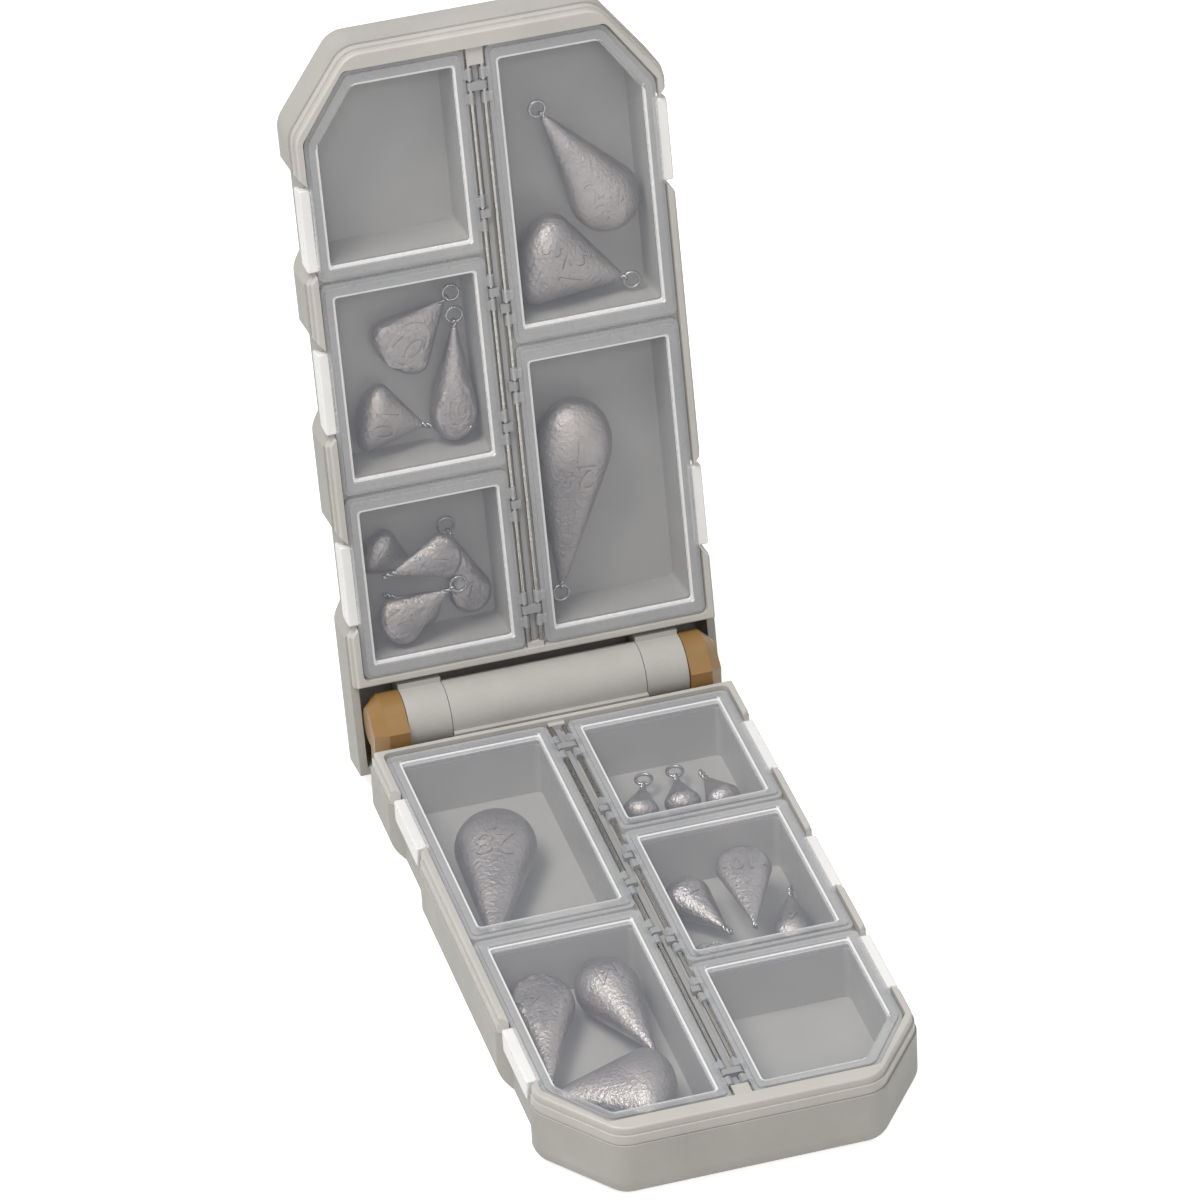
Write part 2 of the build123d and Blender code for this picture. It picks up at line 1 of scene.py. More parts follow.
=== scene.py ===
"""Rig box: two shallow cases on a barrel hinge, ten clear lids, and the sinkers in their compartments.

Named lengths and the tables are in millimetres unless MM is already in them.
"""

from math import acos, cos, pi, radians, sin

import bmesh
import bpy
from mathutils import Matrix, Vector


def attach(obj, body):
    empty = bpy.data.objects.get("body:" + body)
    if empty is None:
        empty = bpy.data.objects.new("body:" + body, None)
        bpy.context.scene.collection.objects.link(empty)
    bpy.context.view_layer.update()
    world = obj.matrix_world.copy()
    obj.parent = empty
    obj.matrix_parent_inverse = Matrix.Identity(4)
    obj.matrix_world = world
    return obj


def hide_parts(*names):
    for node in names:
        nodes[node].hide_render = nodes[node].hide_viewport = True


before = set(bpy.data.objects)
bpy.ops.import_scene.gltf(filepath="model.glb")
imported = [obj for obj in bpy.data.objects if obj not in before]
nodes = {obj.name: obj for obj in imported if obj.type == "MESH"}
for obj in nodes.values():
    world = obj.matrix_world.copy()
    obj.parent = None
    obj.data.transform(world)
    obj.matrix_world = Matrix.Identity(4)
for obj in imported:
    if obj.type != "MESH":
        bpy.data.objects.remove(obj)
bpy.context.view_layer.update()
bpy.ops.object.select_all(action="DESELECT")

MM = 0.001

# ---- Finishes ----

# Nearly all of a noise texture lies between these two values
NOISE_LOW, NOISE_HIGH = 0.3, 0.7


def linear(hex_colour):
    """An sRGB hex colour as linear red, green, blue and alpha."""
    channels = [int(hex_colour[i:i + 2], 16) / 255 for i in (1, 3, 5)]
    return [c / 12.92 if c <= 0.04045 else ((c + 0.055) / 1.055) ** 2.4 for c in channels] + [1.0]


def add_node(tree, kind, settings=None, links=None):
    """Adds a node with its settings (properties or input sockets) and the outputs linked to its sockets."""
    made = tree.nodes.new(kind)
    for name, value in (settings or {}).items():
        if isinstance(name, int) or name in made.inputs:
            made.inputs[name].default_value = value
        else:
            setattr(made, name, value)
    for name, source in (links or {}).items():
        tree.links.new(source, made.inputs[name])
    return made


def start_material(name):
    """An empty material with its node tree, object coordinates in metres and the output node."""
    material = bpy.data.materials.new(name)
    material.use_nodes = True
    tree = material.node_tree
    tree.nodes.clear()
    place = add_node(tree, "ShaderNodeTexCoord").outputs["Object"]
    output = add_node(tree, "ShaderNodeOutputMaterial")
    return material, tree, place, output


def close_material(tree, output, tones, roughness, relief, patterns, settings):
    """Two tones, a range of roughness and a relief (strength, depth in mm), each led by its own pattern."""
    tone_pattern, gloss_pattern, height_pattern = patterns
    tint = add_node(tree, "ShaderNodeMix",
                    {"data_type": "RGBA", 6: linear(tones[0]), 7: linear(tones[1])}, {0: tone_pattern})
    polish = add_node(tree, "ShaderNodeMapRange",
                      {"From Min": NOISE_LOW, "From Max": NOISE_HIGH,
                       "To Min": roughness[0], "To Max": roughness[1]}, {"Value": gloss_pattern})
    bump = add_node(tree, "ShaderNodeBump", {"Strength": relief[0], "Distance": relief[1] * MM},
                    {"Height": height_pattern})
    shader = add_node(tree, "ShaderNodeBsdfPrincipled", settings,
                      {"Base Color": tint.outputs[2], "Roughness": polish.outputs["Result"],
                       "Normal": bump.outputs["Normal"]})
    tree.links.new(shader.outputs[0], output.inputs[0])


def moulded_plastic(name, tones, roughness, grain, grain_depth, alpha=1.0):
    """A moulded plastic: cloudy colour over centimetres, and a grain of the given size and depth in mm."""
    material, tree, place, output = start_material(name)
    # Flow marks drift over some 14 mm
    clouds = add_node(tree, "ShaderNodeTexNoise", {"Scale": 1 / (14 * MM), "Detail": 3.0, "Roughness": 0.6},
                      {"Vector": place})
    specks = add_node(tree, "ShaderNodeTexNoise",
                      {"Scale": 1 / (grain * MM), "Detail": 2.0, "Roughness": 0.55}, {"Vector": place})
    drift = add_node(tree, "ShaderNodeMapRange",
                     {"From Min": NOISE_LOW, "From Max": NOISE_HIGH, "To Min": 0.0, "To Max": 1.0},
                     {"Value": clouds.outputs[0]})
    close_material(tree, output, tones, (roughness - 0.06, roughness + 0.08), (0.8, grain_depth),
                   (drift.outputs["Result"], specks.outputs[0], specks.outputs[0]),
                   {"IOR": 1.5, "Alpha": alpha})
    return material


def drawn_steel():
    """Drawn steel wire: bright, with streaks some 0.6 mm across."""
    material, tree, place, output = start_material("drawn_steel")
    streaks = add_node(tree, "ShaderNodeTexNoise", {"Scale": 1 / (0.6 * MM), "Detail": 2.0},
                       {"Vector": place})
    close_material(tree, output, ("#B9B8B6", "#8F8E8D"), (0.22, 0.4), (0.4, 0.02),
                   [streaks.outputs[0]] * 3, {"Metallic": 1.0})
    return material


def cast_lead():
    """Cast lead: blue-grey with warm worn patches some 5 mm wide, and 0.7 mm pits from the mould."""
    material, tree, place, output = start_material("cast_lead")
    patches = add_node(tree, "ShaderNodeTexNoise", {"Scale": 1 / (5 * MM), "Detail": 4.0, "Roughness": 0.6},
                       {"Vector": place})
    pits = add_node(tree, "ShaderNodeTexNoise", {"Scale": 1 / (0.7 * MM), "Detail": 3.0, "Roughness": 0.6},
                    {"Vector": place})
    close_material(tree, output, ("#8C8B90", "#C4BAB1"), (0.34, 0.48), (1.0, 0.25),
                   (patches.outputs[0], patches.outputs[0], pits.outputs[0]), {"Metallic": 0.95})
    return material


# ABS, spark-eroded outside: a matt warm grey with a fine leathery grain
case_shell = moulded_plastic("spark_eroded_abs", ("#A8A7A3", "#9F9E9A"),
                             roughness=0.62, grain=0.55, grain_depth=0.06)
# ABS from a polished mould: the rim, deck and compartments are smooth with a soft sheen
tray_shell = moulded_plastic("satin_abs", ("#B7B5B1", "#AFADA9"),
                             roughness=0.42, grain=1.4, grain_depth=0.02)
# Polyacetal rail: mid grey and a little waxy
rail_acetal = moulded_plastic("waxy_acetal", ("#97989A", "#8C8D90"),
                              roughness=0.38, grain=0.9, grain_depth=0.02)
# Brown ABS of the end caps: tan, satin, with faint flow marks
cap_abs = moulded_plastic("tan_abs", ("#8A6A3C", "#7C5D31"),
                          roughness=0.4, grain=0.8, grain_depth=0.03)
# Natural polypropylene, some 1.8 mm thick in the frames: milky, lets part of the light through
lid_frame = moulded_plastic("milky_polypropylene", ("#C3C5C9", "#B9BCC2"),
                            roughness=0.3, grain=1.2, grain_depth=0.01, alpha=0.42)
# The same, 0.6 mm thin in the windows: a faint blue-grey haze over what lies behind
lid_window = moulded_plastic("hazy_polypropylene", ("#A9AFBC", "#A0A6B4"),
                             roughness=0.2, grain=2.5, grain_depth=0.008, alpha=0.15)
# The same along the edges round the window: a thin bright line, a painted highlight that stands in for the
# light the real fillets gather
lid_edge_painted_highlight = moulded_plastic("polypropylene_painted_highlight", ("#F0F0F2", "#E8E8EC"),
                           roughness=0.25, grain=1.2, grain_depth=0.01, alpha=0.8)
# The same, bent over the rim in the tabs: near white against the light
lid_tab = moulded_plastic("white_polypropylene", ("#EDEDED", "#E4E4E6"),
                          roughness=0.32, grain=1.0, grain_depth=0.015, alpha=0.85)
# Drawn steel wire of the rods, the pin and the sinkers' eyes: bright
wire_steel = drawn_steel()
# Cast lead of the sinkers: dull blue-grey with warmer patches and a pitted skin
lead = cast_lead()


def paint(piece, *materials):
    """Gives a piece these materials alone."""
    piece.data.materials.clear()
    for material in materials:
        piece.data.materials.append(material)


# The CAD nodes that stay, by how their names end
FINISHES = {
    "_case": case_shell,
    "_tray": tray_shell,
    "_rail": rail_acetal,
    "_cap": cap_abs,
    "_rod_large": wire_steel,
    "_rod_small": wire_steel,
    "_pin": wire_steel,
}

for name, node in nodes.items():
    for ending, material in FINISHES.items():
        if name.endswith(ending):
            paint(node, material)

# ---- Places of the two halves ----

# Each half's own frame: X across, Y away from the hinge, Z up out of the lids, which lie at Z = 0
HINGE = Vector((0, 64.95, 14.5)) * MM
AXIS_HEIGHT = 0.5 * MM
OPENING = radians(100)


def half_place(across, up):
    """Matrix that takes a half's own frame to the part's frame."""
    turned = Matrix((across, up.cross(across), up)).transposed().to_4x4()
    return Matrix.Translation(HINGE - up * AXIS_HEIGHT) @ turned


HALVES = {
    "lower": half_place(Vector((-1, 0, 0)), Vector((0, 0, 1))),
    "upper": half_place(Vector((1, 0, 0)), Vector((0, -sin(OPENING), -cos(OPENING)))),
}

# ---- Modelling by hand ----

# A face looks along an axis when its normal's share along that axis is over this
FACING = 0.9


def take(*pieces):
    """Selects pieces alone, the first one active."""
    bpy.ops.object.select_all(action="DESELECT")
    for piece in pieces:
        piece.select_set(True)
    bpy.context.view_layer.objects.active = pieces[0]


def edit(piece):
    """Opens one piece alone in edit mode with nothing picked."""
    take(piece)
    bpy.ops.object.mode_set(mode="EDIT")
    bpy.ops.mesh.select_mode(type="VERT")
    bpy.ops.mesh.select_all(action="DESELECT")


def close_edit():
    bpy.ops.object.mode_set(mode="OBJECT")


def pick(kind, test):
    """In edit mode, picks the vertices, edges or faces that pass a test."""
    bpy.ops.mesh.select_mode(type={"verts": "VERT", "edges": "EDGE", "faces": "FACE"}[kind])
    bpy.ops.mesh.select_all(action="DESELECT")
    mesh = bmesh.from_edit_mesh(bpy.context.object.data)
    for item in getattr(mesh, kind):
        if test(item):
            item.select_set(True)
    mesh.select_flush_mode()
    bmesh.update_edit_mesh(bpy.context.object.data)


def push(x, y, z):
    """Extrudes what is picked by a distance in mm."""
    bpy.ops.mesh.extrude_region_move(TRANSFORM_OT_translate={"value": (x * MM, y * MM, z * MM)})


def flat_top(level):
    """Test for the one face that looks up at a level in mm."""
    return lambda face: face.normal.z > FACING and abs(face.calc_center_median().z - level * MM) < 0.02 * MM


def upright(height):
    """Test for the upright edges of a height in mm."""
    def test(edge):
        run = edge.verts[1].co - edge.verts[0].co
        return abs(abs(run.z) - height * MM) < 0.01 * MM and run.xy.length < 0.01 * MM
    return test


def add_block(low, high):
    """A block between two corners in mm, its place in its mesh."""
    middle = [(a + b) / 2 * MM for a, b in zip(low, high)]
    size = [(b - a) * MM for a, b in zip(low, high)]
    bpy.ops.mesh.primitive_cube_add(size=1, location=middle, scale=size)
    bpy.ops.object.transform_apply(location=True, rotation=True, scale=True)
    return bpy.context.object


def soften(piece, width, segments=2):
    """Rounds the sharp edges of a piece by a width in mm."""
    rounding = piece.modifiers.new("rounding", "BEVEL")
    rounding.width = width * MM
    rounding.segments = segments
    rounding.limit_method = "ANGLE"
    rounding.angle_limit = radians(30)
    take(piece)
    bpy.ops.object.modifier_apply(modifier=rounding.name)


def copy_piece(piece):
    """A copy with its own mesh."""
    made = piece.copy()
    made.data = piece.data.copy()
    bpy.context.scene.collection.objects.link(made)
    return made


def join(pieces):
    """Joins pieces into the first one."""
    take(*pieces)
    bpy.ops.object.join()
    return pieces[0]


def place_piece(piece, name, half, body):
    """Puts a finished piece, drawn in its half's own frame, in place of its CAD node."""
    piece.data.transform(HALVES[half])
    piece.name = name + "_detailed"
    piece.data.name = piece.name
    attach(piece, body)
    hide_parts(name)


# ---- Lids ----

LID_THICKNESS = 1.8
LID_INNER, LID_OUTER = 1.9, 30.8
LID_ROUNDING = 0.12
CHAMFER_ACROSS, CHAMFER_ALONG = 8.1, 11.5
STEP_DEPTH = 0.45
STEP_WIDTH = 0.7
LEDGE_WIDTH = 0.45
LEDGE_DEPTH = 0.35
WINDOW_INNER, WINDOW_OUTER = 3.95, 28.5
WINDOW_LEVEL = -1.0
WINDOW_THICKNESS = 0.6
WINDOW_DROP = -WINDOW_LEVEL - LEDGE_DEPTH
UNDERSIDE_RISE = LID_THICKNESS + WINDOW_LEVEL - WINDOW_THICKNESS
# Rough widths of the frame from above and from below, before its inner edge is fitted to the window
FRAME_INSET = 0.9
UNDERSIDE_INSET = 2.0
# Faces this near the window's outline are its wall, which gets the painted highlight; inside it, faces of
# more mm2 than this are the window
WALL_REACH = 0.16
WINDOW_AREA = 20

TAB_INNER_FACE = 31.4
TAB_WALL = 1.1
TAB_DROP = 4.4
TAB_HALF_LENGTH = 7.5
TAB_ROUNDING = 0.3
# The tab's lower end: how far it flares out, what is left of its thickness and length, and about which place
TAB_FLARE = 0.3
TAB_END_SHARES = (0.7, 0.94, 1)
TAB_END_PLACE = TAB_INNER_FACE + 0.6

ROD_OFFSET = 1.2
ROD_DROP = 0.9
KNUCKLE_RADIUS = 0.62
KNUCKLE_LENGTH = 2.2
KNUCKLE_ROUNDING = 0.1
# Distances of the knuckles' middles from either end of the lid
KNUCKLE_PLACES = (4.7, 9.1)
ARM_HALF_WIDTH = 0.85
# How far an arm reaches below and above the rod's middle
ARM_BELOW, ARM_ABOVE = 0.5, 0.55

# Heights of a lid's walls with the radius of their upright corners: the outer wall, the step, the ledge, the
# window, and the window's underside
CORNERS = (
    (LID_THICKNESS - STEP_DEPTH, 1.2),
    (STEP_DEPTH, 0.9),
    (LEDGE_DEPTH, 0.8),
    (WINDOW_DROP, 0.6),
    (UNDERSIDE_RISE, 0.6),
)

# Side, lid's near and far edge, window's near and far edge, tab's middle, whether the far corner is cut off
LIDS = {
    "a1": (1, 8.65, 64.3, 11.4, 61.3, 28.7, False),
    "a2": (1, 65.0, 119.65, 68.0, 116.9, 97.0, True),
    "b1": (-1, 8.65, 42.5, 11.4, 39.8, 26.4, False),
    "b2": (-1, 43.2, 82.1, 45.9, 79.6, 62.4, False),
    "b3": (-1, 82.8, 119.65, 85.3, 116.9, 92.3, True),
}


def fit_picked(side, inner, outer, near, far):
    """Stretches what is picked to a rectangle given in mm."""
    mesh = bmesh.from_edit_mesh(bpy.context.object.data)
    spots = [v.co for v in mesh.verts if v.select]
    low = Vector((min(c.x for c in spots), min(c.y for c in spots), spots[0].z))
    high = Vector((max(c.x for c in spots), max(c.y for c in spots), spots[0].z))
    middle = (low + high) / 2
    wanted = Vector((side * (inner + outer) / 2 * MM, (near + far) / 2 * MM, middle.z))
    stretch = ((outer - inner) * MM / (high.x - low.x), (far - near) * MM / (high.y - low.y), 1)
    bpy.ops.transform.resize(value=stretch, center_override=middle)
    bpy.ops.transform.translate(value=wanted - middle)


def model_panel(side, near, far, window_near, window_far, cut):
    """A lid's panel: its outline, the step up to the frame, and the ledge and window let into it."""
    bpy.ops.mesh.primitive_plane_add(
        size=1, location=(side * (LID_INNER + LID_OUTER) / 2 * MM, (near + far) / 2 * MM, -STEP_DEPTH * MM),
        scale=((LID_OUTER - LID_INNER) * MM, (far - near) * MM, 1))
    bpy.ops.object.transform_apply(location=True, rotation=True, scale=True)
    panel = bpy.context.object
    # Whatever size the plane was added at, its outline is fitted here
    edit(panel)
    bpy.ops.mesh.select_all(action="SELECT")
    fit_picked(side, LID_INNER, LID_OUTER, near, far)
    if cut:
        corner = Vector((side * LID_OUTER, far - CHAMFER_ALONG, 0)) * MM
        normal = Vector((side * CHAMFER_ALONG, CHAMFER_ACROSS, 0)).normalized()
        bpy.ops.mesh.bisect(plane_co=corner, plane_no=normal, clear_outer=True)
        bpy.ops.mesh.select_all(action="SELECT")
    push(0, 0, STEP_DEPTH - LID_THICKNESS)
    bpy.ops.mesh.select_all(action="SELECT")
    bpy.ops.mesh.normals_make_consistent(inside=False)
    # From above: a step up from the outer edge, down to a ledge, and down again to the window
    pick("faces", flat_top(-STEP_DEPTH))
    bpy.ops.mesh.inset(thickness=STEP_WIDTH * MM)
    push(0, 0, STEP_DEPTH)
    bpy.ops.mesh.inset(thickness=FRAME_INSET * MM)
    fit_picked(side, WINDOW_INNER - LEDGE_WIDTH, WINDOW_OUTER + LEDGE_WIDTH,
               window_near - LEDGE_WIDTH, window_far + LEDGE_WIDTH)
    push(0, 0, -LEDGE_DEPTH)
    bpy.ops.mesh.inset(thickness=LEDGE_WIDTH * MM)
    push(0, 0, -WINDOW_DROP)
    # From below: up to the window
    pick("faces", lambda face: face.normal.z < -FACING)
    bpy.ops.mesh.inset(thickness=UNDERSIDE_INSET * MM)
    fit_picked(side, WINDOW_INNER, WINDOW_OUTER, window_near, window_far)
    push(0, 0, UNDERSIDE_RISE)
    for height, radius in CORNERS:
        pick("edges", upright(height))
        bpy.ops.mesh.bevel(offset=radius * MM, segments=4, affect="EDGES")
    close_edit()
    soften(panel, LID_ROUNDING)
    return panel


def paint_panel(panel, window_near, window_far):
    """Milky frame, hazy window, and a painted highlight: a bright line on the wall round the window."""
    paint(panel, lid_frame, lid_window, lid_tab, lid_edge_painted_highlight)
    frame_slot, window_slot, highlight_slot = 0, 1, 3
    for face in panel.data.polygons:
        middle = face.center / MM
        across, along = abs(middle.x), middle.y
        inside = WINDOW_INNER < across < WINDOW_OUTER and window_near < along < window_far
        to_wall = min(abs(across - WINDOW_INNER), abs(across - WINDOW_OUTER),
                      abs(along - window_near), abs(along - window_far))
        # The wall round the window gets the painted highlight
        if to_wall < WALL_REACH and middle.z > WINDOW_LEVEL - 0.1:
            face.material_index = highlight_slot
        elif inside and face.area > WINDOW_AREA * MM * MM:
            face.material_index = window_slot
        else:
            face.material_index = frame_slot


def model_tab(side, middle):
    """A strip from the frame out over the rim, folded down the side wall with a slight flare."""
    ends = (side * (LID_OUTER - STEP_WIDTH), side * TAB_INNER_FACE)
    tab = add_block((min(ends), middle - TAB_HALF_LENGTH, -LID_THICKNESS),
                    (max(ends), middle + TAB_HALF_LENGTH, -STEP_DEPTH))
    edit(tab)
    pick("faces", lambda face: face.normal.x * side > FACING)
    push(side * TAB_WALL, 0, 0)
    pick("faces", lambda face: face.normal.z < -FACING
         and abs(face.calc_center_median().x) > TAB_INNER_FACE * MM)
    push(0, 0, LID_THICKNESS - TAB_DROP)
    bpy.ops.transform.translate(value=(side * TAB_FLARE * MM, 0, 0))
    bpy.ops.transform.resize(value=TAB_END_SHARES,
                             center_override=(side * TAB_END_PLACE * MM, middle * MM, -TAB_DROP * MM))
    close_edit()
    soften(tab, TAB_ROUNDING, segments=4)
    paint(tab, lid_tab)
    return tab


def model_knuckle(side, place):
    """A knuckle on the rod and the arm that carries it."""
    bpy.ops.mesh.primitive_cylinder_add(
        vertices=24, radius=KNUCKLE_RADIUS * MM, depth=KNUCKLE_LENGTH * MM,
        location=(side * ROD_OFFSET * MM, place * MM, -ROD_DROP * MM), rotation=(pi / 2, 0, 0))
    bpy.ops.object.transform_apply(location=True, rotation=True, scale=True)
    knuckle = bpy.context.object
    soften(knuckle, KNUCKLE_ROUNDING)
    ends = (side * ROD_OFFSET, side * (LID_INNER + STEP_WIDTH))
    arm = add_block((min(ends), place - ARM_HALF_WIDTH, -ROD_DROP - ARM_BELOW),
                    (max(ends), place + ARM_HALF_WIDTH, -ROD_DROP + ARM_ABOVE))
    soften(arm, LID_ROUNDING)
    paint(knuckle, lid_frame)
    paint(arm, lid_frame)
    return [knuckle, arm]


def model_lid(key):
    """One lid: panel, tab, and knuckles on the rod."""
    side, near, far, window_near, window_far, tab_middle, cut = LIDS[key]
    panel = model_panel(side, near, far, window_near, window_far, cut)
    paint_panel(panel, window_near, window_far)
    parts = [panel, model_tab(side, tab_middle)]
    for place in [near + away for away in KNUCKLE_PLACES] + [far - away for away in KNUCKLE_PLACES]:
        parts += model_knuckle(side, place)
    return join(parts)


for key in LIDS:
    drawn = model_lid(key)
    for half in HALVES:
        piece = copy_piece(drawn)
        place_piece(piece, f"{half}_lid_{key}", half, f"{half}_lid_{key}")
    bpy.data.objects.remove(drawn)

# ---- Sinkers ----

POCKET_FLOOR = -12.0
SEAT_GAP = 0.3
LAYER_THICKNESS = 4.8

# The blank is a teardrop of unit width; its length, bulb and tip are shares of that width
BLANK_LENGTH = 1.9
BULB_RADIUS = 0.5
TIP_RADIUS = 0.06
# Where a face is flat: its height over the sinker's middle and its edge's rounding, as shares of the
# thickness and of the width
FLAT_SHARE = 0.3
FLAT_ROUNDING = 0.05

WIRE_RADIUS = 0.3
# How deep the wire starts in the lead, and how far its two strands stand off the middle and wind round it
WIRE_ROOT = 0.6
TWIST_RADIUS = 0.27
TWIST_TURN = 2.6 * pi
TWIST_STEPS = 18
EYE_RADIUS = 1.4
EYE_SHANK = 1.2
# How far the strands run on past the shank with an eye, and without one
EYE_NECK = 0.35
STUB_LENGTH = 1.0
# The eye is a ring, open towards the point: half its arc, its overlap with the shank, and its bow upwards
EYE_ARC = radians(168)
EYE_STEPS = 32
EYE_OVERLAP = 0.03
EYE_LIFT = 0.25

# Size of the figures as shares of the sinker's width; a number of LONG_NUMBER characters or more is smaller
FIGURE_SHARE, LONG_FIGURE_SHARE = 0.5, 0.4
LONG_NUMBER = 5
LINE_SPACE = 0.8
FIGURE_HEIGHT = 0.28
# Figures and ovals lie off the bulb's middle towards the point by this share of the width
FACE_SHIFT = 0.1

# The oval: its radius as a share of the width, its height, the width of its line, how far its inside is let
# down, how deep it sits in the face, and its stretch along the sinker
RING_SHARE = 0.26
RING_HEIGHT = 0.2
RING_LINE = 0.3
RING_RECESS = 0.15
RING_SINK = 0.05
RING_STRETCH = 1.45

# Name, bulb's middle across and out from the hinge, direction of the point in degrees, length, width,
# thickness, layer, whether the wire eye shows, whether the face is flat with an oval on it, and the number
# cast there. 28, 1, 21 and 3/4 are read in the photograph. The other figures are made up, and so is the
# repeat of 21 and 3/4 on upper_a2_sinker_2.
SINKERS = [
    ("upper_a2_sinker_1", 21.6, 86.4, 120, 24.5, 12.4, 9.6, 0, True, False, "21\n3/4"),
    ("upper_a2_sinker_2", 9.8, 76.9, -24, 19.0, 16.6, 9.6, 0, True, False, "21\n3/4"),
    ("upper_a1_sinker_1", 11.6, 41.5, -100, 33.5, 14.0, 9.6, 0, True, False, "28\n1"),
    ("upper_b2_sinker_1", -16.4, 65.0, 40, 14.0, 12.4, 5.6, 0, True, True, "10"),
    ("upper_b2_sinker_2", -8.4, 52.0, 84, 20.5, 8.4, 7.6, 0, True, True, "10"),
    ("upper_b2_sinker_3", -22.4, 53.2, -20, 11.5, 12.4, 6.4, 0, False, False, "10"),
    ("upper_b1_sinker_1", -24.2, 28.0, -36, 10.0, 8.6, 4.8, 0, False, False, "5"),
    ("upper_b1_sinker_2", -13.8, 27.2, 190, 12.0, 8.4, 4.8, 1, False, True, "7"),
    ("upper_b1_sinker_3", -8.6, 17.2, 103, 15.0, 7.6, 4.8, 0, True, True, "7"),
    ("upper_b1_sinker_4", -22.8, 16.4, 24, 13.0, 9.0, 4.8, 1, True, True, "7"),
    ("upper_b1_sinker_5", -16.6, 15.4, 150, 8.5, 6.6, 4.8, 0, False, False, ""),
    ("lower_a1_sinker_1", 17.6, 31.6, 74, 35.5, 14.2, 9.6, 0, False, False, "28\n1"),
    ("lower_a2_sinker_1", 22.4, 76.6, 79, 25.5, 11.4, 8.4, 0, False, True, "14"),
    ("lower_a2_sinker_2", 10.8, 76.6, 98, 23.5, 11.0, 9.6, 0, False, False, "14"),
    ("lower_a2_sinker_3", 12.4, 104.6, -14, 19.5, 18.4, 9.6, 0, False, False, ""),
    ("lower_b1_sinker_1", -9.6, 26.6, 250, 9.0, 6.4, 4.8, 0, True, False, ""),
    ("lower_b1_sinker_2", -17.2, 26.6, 262, 9.0, 6.4, 4.8, 0, True, False, ""),
    ("lower_b1_sinker_3", -24.2, 27.6, 280, 9.0, 6.4, 4.8, 0, False, False, ""),
    ("lower_b2_sinker_1", -19.6, 55.0, 80, 20.0, 9.6, 4.8, 1, False, True, "10"),
    ("lower_b2_sinker_2", -9.4, 55.0, 110, 14.0, 8.6, 7.0, 0, False, False, "7"),
    ("lower_b2_sinker_3", -24.2, 68.0, 255, 13.0, 7.2, 4.8, 0, False, False, "7"),
    ("lower_b2_sinker_4", -9.0, 72.0, 60, 9.0, 7.4, 6.0, 0, False, True, "5"),
    ("lower_b2_sinker_5", -16.6, 73.0, 120, 9.0, 6.8, 4.8, 0, False, False, ""),
]


def model_teardrop():
    """A teardrop of unit width along X, spun from part of a circle and the line to its point."""
    reach = BLANK_LENGTH - BULB_RADIUS
    turn = acos((BULB_RADIUS - TIP_RADIUS) / reach)
    touch = Vector((cos(turn), sin(turn), 0)) * BULB_RADIUS
    tip_touch = Vector((reach + TIP_RADIUS * cos(turn), TIP_RADIUS * sin(turn), 0))
    bpy.ops.mesh.primitive_circle_add(vertices=64, radius=BULB_RADIUS)
    drop = bpy.context.object
    edit(drop)
    pick("verts", lambda v: v.co.y < -1e-4 or v.co.x > touch.x - 0.01)
    bpy.ops.mesh.delete(type="VERT")
    start = max((v.co for v in bmesh.from_edit_mesh(drop.data).verts), key=lambda c: c.x).copy()
    pick("verts", lambda v: (v.co - start).length < 1e-6)
    for run in (touch - start, tip_touch - touch, (TIP_RADIUS, -tip_touch.y, 0)):
        bpy.ops.mesh.extrude_region_move(TRANSFORM_OT_translate={"value": run})
    # The long straight side gets cuts, so that figures and light follow it
    pick("edges", lambda e: e.calc_length() > BULB_RADIUS)
    bpy.ops.mesh.subdivide(number_cuts=11)
    bpy.ops.mesh.select_all(action="SELECT")
    bpy.ops.mesh.spin(steps=48, angle=2 * pi, center=(0, 0, 0), axis=(1, 0, 0))
    bpy.ops.mesh.select_all(action="SELECT")
    bpy.ops.mesh.remove_doubles(threshold=1e-4)
    bpy.ops.mesh.normals_make_consistent(inside=False)
    close_edit()
    return drop


def wire_path(tip, eye):
    """Points in mm: one strand out of the point, round the eye where it shows, and the other strand back."""
    root = tip - WIRE_ROOT
    twist_end = tip + EYE_SHANK + (EYE_NECK if eye else STUB_LENGTH)

    def strand(share, start):
        turn = TWIST_TURN * share + start
        return root + (twist_end - root) * share, TWIST_RADIUS * cos(turn), TWIST_RADIUS * sin(turn)

    shares = [i / TWIST_STEPS for i in range(TWIST_STEPS + 1)]
    points = [strand(share, 0) for share in shares]
    if eye:
        middle = tip + EYE_SHANK + EYE_RADIUS - EYE_OVERLAP
        for i in range(EYE_STEPS + 1):
            turn = EYE_ARC * (1 - 2 * i / EYE_STEPS)
            points.append((middle + EYE_RADIUS * cos(turn), EYE_RADIUS * sin(turn), EYE_LIFT * cos(turn / 2)))
    return points + [strand(share, pi) for share in reversed(shares)]


def model_wire(tip, eye):
    """Twisted wire out of the point, ending in a round eye where it shows."""
    points = wire_path(tip, eye)
    path = bpy.data.curves.new("wire", "CURVE")
    path.dimensions = "3D"
    line = path.splines.new("POLY")
    line.points.add(len(points) - 1)
    for point, spot in zip(line.points, points):
        point.co = [c * MM for c in spot] + [1.0]
    path.bevel_depth = WIRE_RADIUS * MM
    path.bevel_resolution = 2
    path.use_fill_caps = True
    wire = bpy.data.objects.new("wire", path)
    bpy.context.scene.collection.objects.link(wire)
    take(wire)
    bpy.ops.object.convert(target="MESH")
    wire = bpy.context.object
    paint(wire, wire_steel)
    for face in wire.data.polygons:
        face.use_smooth = True
    return wire


